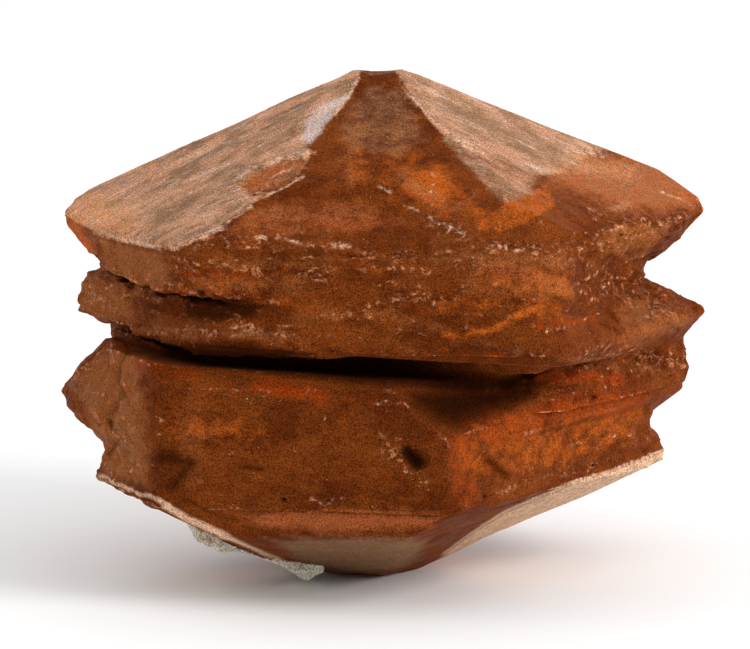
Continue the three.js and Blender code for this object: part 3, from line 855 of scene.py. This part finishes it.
def noise_at(tree, place, label, size_mm, detail, rough):
    """A noise texture whose lumps measure size_mm along X, Y and Z."""
    mapping = tree.nodes.new("ShaderNodeMapping")
    mapping.inputs["Scale"].default_value = [1 / (size * MM) for size in size_mm]
    texture = tree.nodes.new("ShaderNodeTexNoise")
    mapping.label = texture.label = label
    texture.inputs["Scale"].default_value = 1
    texture.inputs["Detail"].default_value = detail
    texture.inputs["Roughness"].default_value = rough
    tree.links.new(place, mapping.inputs["Vector"])
    tree.links.new(mapping.outputs["Vector"], texture.inputs["Vector"])
    return texture.outputs["Fac"]


def spread(tree, value, low, high, to_low=0.0, to_high=1.0):
    """Takes low..high of a value to to_low..to_high, and holds it there outside."""
    node = tree.nodes.new("ShaderNodeMapRange")
    node.interpolation_type = "SMOOTHSTEP"
    for name, number in (("From Min", low), ("From Max", high), ("To Min", to_low), ("To Max", to_high)):
        node.inputs[name].default_value = number
    tree.links.new(value, node.inputs["Value"])
    return node.outputs["Result"]


def combine(tree, operation, first, second):
    node = tree.nodes.new("ShaderNodeMath")
    node.operation = operation
    feed(tree, node.inputs[0], first)
    feed(tree, node.inputs[1], second)
    return node.outputs["Value"]


def times(tree, first, second):
    return combine(tree, "MULTIPLY", first, second)


def layer(tree, under, over, share, blend="MIX"):
    """Lays a colour over another by a share between 0 and 1."""
    node = tree.nodes.new("ShaderNodeMix")
    node.data_type = "RGBA"
    node.blend_type = blend
    sockets = {socket.identifier: socket for socket in node.inputs}
    feed(tree, sockets["Factor_Float"], share)
    feed(tree, sockets["A_Color"], under)
    feed(tree, sockets["B_Color"], over)
    return next(socket for socket in node.outputs if socket.identifier == "Result_Color")


def zone(tree, name):
    node = tree.nodes.new("ShaderNodeAttribute")
    node.attribute_name = node.label = name
    return node.outputs["Fac"]


def frayed(tree, name, texture, fray):
    """A stored zone whose edge is broken up by a noise texture."""
    shift = times(tree, combine(tree, "SUBTRACT", texture, 0.5), fray)
    return spread(tree, combine(tree, "ADD", zone(tree, name), shift), 0.0, 1.0)


# %% [markdown]
# The real body is like dark resin, cloudy and a little see-through. A shader that lets light pass
# all the way would show what lies behind the crystal, and nothing does here. So the clouds are noise
# in the colour, and brown skin, amber and red glow, which is painted light, and salmon skin are layers
# over them. Noise frays the edge of every zone, so that no layer ends in a clean line. A row of noise
# is a size in mm, a detail and a roughness. A row of the body is a zone, a colour, its fraying and its
# strength.

# %% The resin body
DARK_RESIN = (0.097, 0.018, 0.003)
WARM_RESIN = (0.174, 0.039, 0.006)
# Painted light: the amber and red glow of light that comes through.
PAINTED_AMBER_GLOW = (0.43, 0.092, 0.010)
PAINTED_RED_GLOW = (0.27, 0.034, 0.003)
BROWN_SKIN = (0.27, 0.082, 0.020)
SALMON_SKIN = (0.33, 0.088, 0.024)
SALMON_FRAY = 1.2
BODY_LAYERS = (
    ("skin", BROWN_SKIN, 1.2, 0.85),
    ("amber", PAINTED_AMBER_GLOW, 1.6, 1.0),
    ("ember", PAINTED_RED_GLOW, 1.4, 1.0),
    ("salmon", SALMON_SKIN, SALMON_FRAY, 1.0),
)
CRYSTAL_NOISES = (
    ("clouds", (3.4, 3.4, 2.4), 4, 0.55),
    ("veins", (0.8, 0.8, 0.6), 5, 0.7),
    ("streaks", (5, 0.7, 5), 5, 0.65),
    ("fine", (0.3, 0.3, 0.25), 3, 0.6),
    ("etch patches", (2.2, 1.1, 2.2), 5, 0.7),
    ("highlight lines", (2.2, 0.3, 2.2), 4, 0.7),
    ("specks", (0.13, 0.13, 0.1), 2, 0.5),
    ("speck patches", (1.6, 1.6, 0.8), 3, 0.6),
    ("grain", (0.075, 0.075, 0.075), 2, 0.7),
    ("gloss", (1.2, 1.2, 0.6), 4, 0.55),
    ("ledge lines", (3, 3, 0.35), 4, 0.6),
    ("furrow lines", (3, 0.35, 3), 4, 0.7),
    ("pores", (0.25, 0.25, 0.25), 4, 0.7),
)


def body_colour(tree, noises):
    veins = noises["veins"]
    mottled = combine(tree, "ADD", noises["clouds"], times(tree, veins, 0.8))
    colour = layer(tree, DARK_RESIN, WARM_RESIN, spread(tree, mottled, 0.7, 1.1))
    for name, over, fray, strength in BODY_LAYERS:
        colour = layer(tree, colour, over, times(tree, frayed(tree, name, veins, fray), strength))
    return colour


print("body layers:", len(BODY_LAYERS), "noises:", len(CRYSTAL_NOISES))

# %% [markdown]
# The top faces are pale and matt, in long streaks: partly dried skin, partly painted sheen. They could
# be a material of their own, but its edge would be a clean line, so they are a layer too. It is umber
# and pink in patches, and peach where salmon skin runs under it. The painted highlight is brightest,
# in thin lines.

# %% The pale tops: dried skin and painted sheen
# Colours of the pale tops: partly dried skin, partly painted sheen.
UMBER_ETCH_SHEEN = (0.26, 0.14, 0.075)
PINK_ETCH_SHEEN = (0.56, 0.285, 0.165)
PEACH_ETCH_SHEEN = (0.64, 0.28, 0.115)
BROWN_ASH = (0.21, 0.11, 0.052)
# Painted highlight, bluish white.
PAINTED_BLUE_HIGHLIGHT = (0.60, 0.50, 0.46)


# Lays the pale tops of dried skin and painted sheen, the ash and the painted highlight.
def etch_and_sheen_colour(tree, noises, colour):
    veins = noises["veins"]
    etch_sheen_mix = layer(tree, UMBER_ETCH_SHEEN, PINK_ETCH_SHEEN, spread(tree, noises["etch patches"], 0.36, 0.6))
    salmon = frayed(tree, "salmon", veins, SALMON_FRAY)
    etch_sheen_mix = layer(tree, etch_sheen_mix, PEACH_ETCH_SHEEN, times(tree, salmon, 0.85))
    etch_and_sheen = frayed(tree, "etch_and_sheen", noises["fine"], 1.0)
    streaked = times(tree, etch_and_sheen, spread(tree, noises["streaks"], 0.32, 0.6, 0.75, 1))
    colour = layer(tree, colour, etch_sheen_mix, streaked)
    colour = layer(tree, colour, BROWN_ASH, times(tree, frayed(tree, "ash", veins, 1.4), 0.9))
    # Painted highlight in thin lines on the pale tops, and in its marks.
    highlight_lines = times(tree, etch_and_sheen, spread(tree, noises["highlight lines"], 0.54, 0.74))
    painted_highlight = combine(tree, "MAXIMUM", frayed(tree, "painted_highlight", noises["streaks"], 2.4), highlight_lines)
    return layer(tree, colour, PAINTED_BLUE_HIGHLIGHT, times(tree, painted_highlight, 0.65))


# %% [markdown]
# The real rims are splintered, and every splinter catches the light. To model thousands of them
# would be slow, so a steep ramp on fine noise makes pale flakes of that size on the rims and in the
# flaky zones: partly pale splinters and partly painted glints, with painted shade in the hollows
# between them. Small loose specks of chalk lie in patches everywhere.

# %% Flakes and specks
# Pale flakes: partly pale splinters, partly painted glints.
PINK_FLAKE_AND_GLINT = (0.64, 0.29, 0.145)
WHITE_CHALK = (0.84, 0.52, 0.34)
DEEP_SHADE = (0.030, 0.006, 0.001)


def flecked_colour(tree, noises, colour):
    fine = noises["fine"]
    patches = noises["speck patches"]
    # Painted glints, partly pale splinters, on the rims and in the flaky zones.
    on_rims = times(tree, frayed(tree, "rim", patches, 2.4), spread(tree, fine, 0.45, 0.65))
    in_zones = times(tree, frayed(tree, "flakes", patches, 2.0), spread(tree, fine, 0.53, 0.62))
    pale = combine(tree, "MAXIMUM", on_rims, in_zones)
    colour = layer(tree, colour, PINK_FLAKE_AND_GLINT, times(tree, pale, 0.7))
    # Painted shade in the hollows between the flakes.
    hollow = times(tree, frayed(tree, "flakes", patches, 1.6), spread(tree, fine, 0.34, 0.46, 1, 0))
    colour = layer(tree, colour, DEEP_SHADE, times(tree, hollow, 0.6))
    loose = times(tree, spread(tree, noises["specks"], 0.68, 0.76), spread(tree, patches, 0.5, 0.7))
    return layer(tree, colour, WHITE_CHALK, times(tree, loose, 0.6))


# %% [markdown]
# Plain shadow would leave the grooves brown, so painted shade darkens them in two steps, the second
# nearly black. Chalk lines and the grey crust are surface things, and the strips along the lower
# edges carry a painted floor reflection, so they come after everything else.

# %% Grooves, edges and crust
# Painted shade for the cores of the grooves.
PAINTED_GROOVE_SHADE = (0.008, 0.002, 0.0004)
# Painted reflection of the pale floor.
PAINTED_FLOOR_REFLECTION = (0.66, 0.42, 0.27)
GREY_CRUST = (0.68, 0.66, 0.55)


def edged_colour(tree, noises, colour):
    fine = noises["fine"]
    veins = noises["veins"]
    # Painted shade: dark over the deep zone, then nearly black where it is strongest.
    colour = layer(tree, colour, DEEP_SHADE, times(tree, frayed(tree, "deep", veins, 0.8), 0.92))
    colour = layer(tree, colour, PAINTED_GROOVE_SHADE, spread(tree, zone(tree, "deep"), 0.85, 1.3, 0, 0.5))
    colour = layer(tree, colour, WHITE_CHALK, times(tree, frayed(tree, "chalk", fine, 1.8), 0.7))
    # Painted reflection of the floor along the lower edges.
    floor_reflection = times(tree, frayed(tree, "floor_reflection", fine, 0.6), spread(tree, veins, 0.3, 0.55, 0.6, 1))
    colour = layer(tree, colour, PAINTED_FLOOR_REFLECTION, floor_reflection)
    crust = layer(tree, GREY_CRUST, BROWN_ASH, spread(tree, fine, 0.5, 0.75, 0, 0.7))
    return layer(tree, colour, crust, frayed(tree, "crust", fine, 0.9))


# %% [markdown]
# The real skin has hardly any mirror shine, a little gloss in patches, and none in the grooves. Red
# light travels furthest in the resin, so the radius of Subsurface is largest for red. Lines and
# pores that are too fine for the mesh are a bump: cutting the mesh finer would make it very heavy.

# %% Grain, gloss and bump
BUMP_STRENGTH = 0.6
BUMP_DEPTH_MM = 0.1
RIDGE_ANGLE = math.radians(28)
RESIN_LIGHT = {
    "IOR": 1.5,
    "Specular IOR Level": 0.015,
    "Subsurface Weight": 0.3,
    "Subsurface Radius": (1.0, 0.25, 0.08),
    "Subsurface Scale": 1.4 * MM,
}


def grained_colour(tree, noises, colour):
    shade = spread(tree, noises["grain"], 0.28, 0.72, 0.36, 1.64)
    shades = tree.nodes.new("ShaderNodeCombineColor")
    for socket in shades.inputs:
        tree.links.new(shade, socket)
    return layer(tree, colour, shades.outputs["Color"], 1.0, "MULTIPLY")


def skin_roughness(tree, noises):
    patchy = spread(tree, noises["gloss"], 0.3, 0.7, 0.4, 0.62)
    return combine(tree, "MAXIMUM", patchy, spread(tree, zone(tree, "deep"), 0, 0.6))


def fine_bump(tree, noises):
    on_tops = spread(tree, zone(tree, "furrowed"), 0, 1, 0, 0.7)
    lines = combine(tree, "ADD", noises["ledge lines"], times(tree, noises["furrow lines"], on_tops))
    pores = times(tree, noises["pores"], spread(tree, zone(tree, "flakes"), 0, 0.8, 1, 3))
    bump = tree.nodes.new("ShaderNodeBump")
    bump.inputs["Strength"].default_value = BUMP_STRENGTH
    bump.inputs["Distance"].default_value = BUMP_DEPTH_MM * MM
    tree.links.new(combine(tree, "ADD", lines, pores), bump.inputs["Height"])
    return bump.outputs["Normal"]


def crystal_finish():
    material = new_material("sturmanite_resin")
    tree = material.node_tree
    place = tree.nodes.new("ShaderNodeTexCoord").outputs["Object"]
    noises = {name: noise_at(tree, place, name, *form) for name, *form in CRYSTAL_NOISES}
    colour = body_colour(tree, noises)
    for lay_over in (etch_and_sheen_colour, flecked_colour, edged_colour, grained_colour):
        colour = lay_over(tree, noises, colour)

    shader = tree.nodes.new("ShaderNodeBsdfPrincipled")
    for name, value in RESIN_LIGHT.items():
        shader.inputs[name].default_value = value
    tree.links.new(colour, shader.inputs["Base Color"])
    tree.links.new(skin_roughness(tree, noises), shader.inputs["Roughness"])
    tree.links.new(fine_bump(tree, noises), shader.inputs["Normal"])
    output = tree.nodes.new("ShaderNodeOutputMaterial")
    tree.links.new(shader.outputs["BSDF"], output.inputs["Surface"])
    return material


crystal.data.materials.clear()
crystal.data.materials.append(crystal_finish())
make_active(crystal)
bpy.ops.object.shade_smooth_by_angle(angle=RIDGE_ANGLE)
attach(crystal, "root")
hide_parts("crystal")
print("crystal finish:", crystal.data.materials[0].name)

# %% [markdown]
# ## The floor and the light
# The crystal stands on a plain pale floor under a soft white sky. The sky is bright behind and
# overhead and dim low down at the front, as in a studio where the camera stands in the dark: so the
# faces that look at the camera keep their deep colour. One large soft lamp from the right front
# brings out the relief.

# %% Floor
FLOOR_SIZE = 4
FLOOR_WHITE = (0.94, 0.94, 0.94)
FLOOR_ROUGHNESS = 0.9

bpy.ops.mesh.primitive_plane_add(size=FLOOR_SIZE, location=(0, 0, 0))
floor = bpy.context.object
floor.name = "floor"
paint = new_material("floor_paint")
paint_shader = paint.node_tree.nodes.new("ShaderNodeBsdfPrincipled")
feed(paint.node_tree, paint_shader.inputs["Base Color"], FLOOR_WHITE)
paint_shader.inputs["Roughness"].default_value = FLOOR_ROUGHNESS
paint_output = paint.node_tree.nodes.new("ShaderNodeOutputMaterial")
paint.node_tree.links.new(paint_shader.outputs["BSDF"], paint_output.inputs["Surface"])
floor.data.materials.append(paint)
print("floor size in m:", FLOOR_SIZE)

# %% [markdown]
# The sky is only a strength that changes with the direction: Z is 0 at the horizon and 1 overhead,
# and Y is -1 at the front and 1 behind. Near the horizon, the part at the front is dimmed to a share.

# %% Sky
SKY_WHITE = (1, 1, 1)
SKY_LOW = 1.15
SKY_HIGH = 0.95
FRONT_SHARE = 0.35

world = bpy.data.worlds.new("studio")
bpy.context.scene.world = world
world.use_nodes = True
sky = world.node_tree
parts = sky.nodes.new("ShaderNodeSeparateXYZ")
sky.links.new(sky.nodes.new("ShaderNodeTexCoord").outputs["Generated"], parts.inputs["Vector"])
from_horizon = spread(sky, parts.outputs["Z"], 0.3, 0.9, SKY_LOW, SKY_HIGH)
low_down = spread(sky, parts.outputs["Z"], 0.3, 0.75, 1, 0)
front_loss = spread(sky, parts.outputs["Y"], -0.6, 0.1, 1 - FRONT_SHARE, 0)
dimmed = combine(sky, "SUBTRACT", 1.0, times(sky, low_down, front_loss))
background = sky.nodes["Background"]
sky.links.new(times(sky, from_horizon, dimmed), background.inputs["Strength"])
feed(sky, background.inputs["Color"], SKY_WHITE)
print("sky strength:", SKY_LOW, "low down and", SKY_HIGH, "overhead")

# %% [markdown]
# The lamp is about as large as it is far from the ground, so its shadows are soft. It points at the
# spot that the camera aims at. The Standard view keeps the colours as they are mixed.

# %% Lamp
LAMP_PLACE = Vector((0.34, -0.22, 0.22))
LAMP_SIZE = 0.22
LAMP_WATTS = 1.4

bpy.ops.object.light_add(type="AREA", location=LAMP_PLACE)
lamp = bpy.context.object
lamp.name = "right_lamp"
lamp.data.size = LAMP_SIZE
lamp.data.energy = LAMP_WATTS
lamp.rotation_euler = (LAMP_PLACE - AIM).to_track_quat("Z", "Y").to_euler()
bpy.context.scene.view_settings.view_transform = "Standard"
print("lamp:", lamp.name, "watts:", LAMP_WATTS)
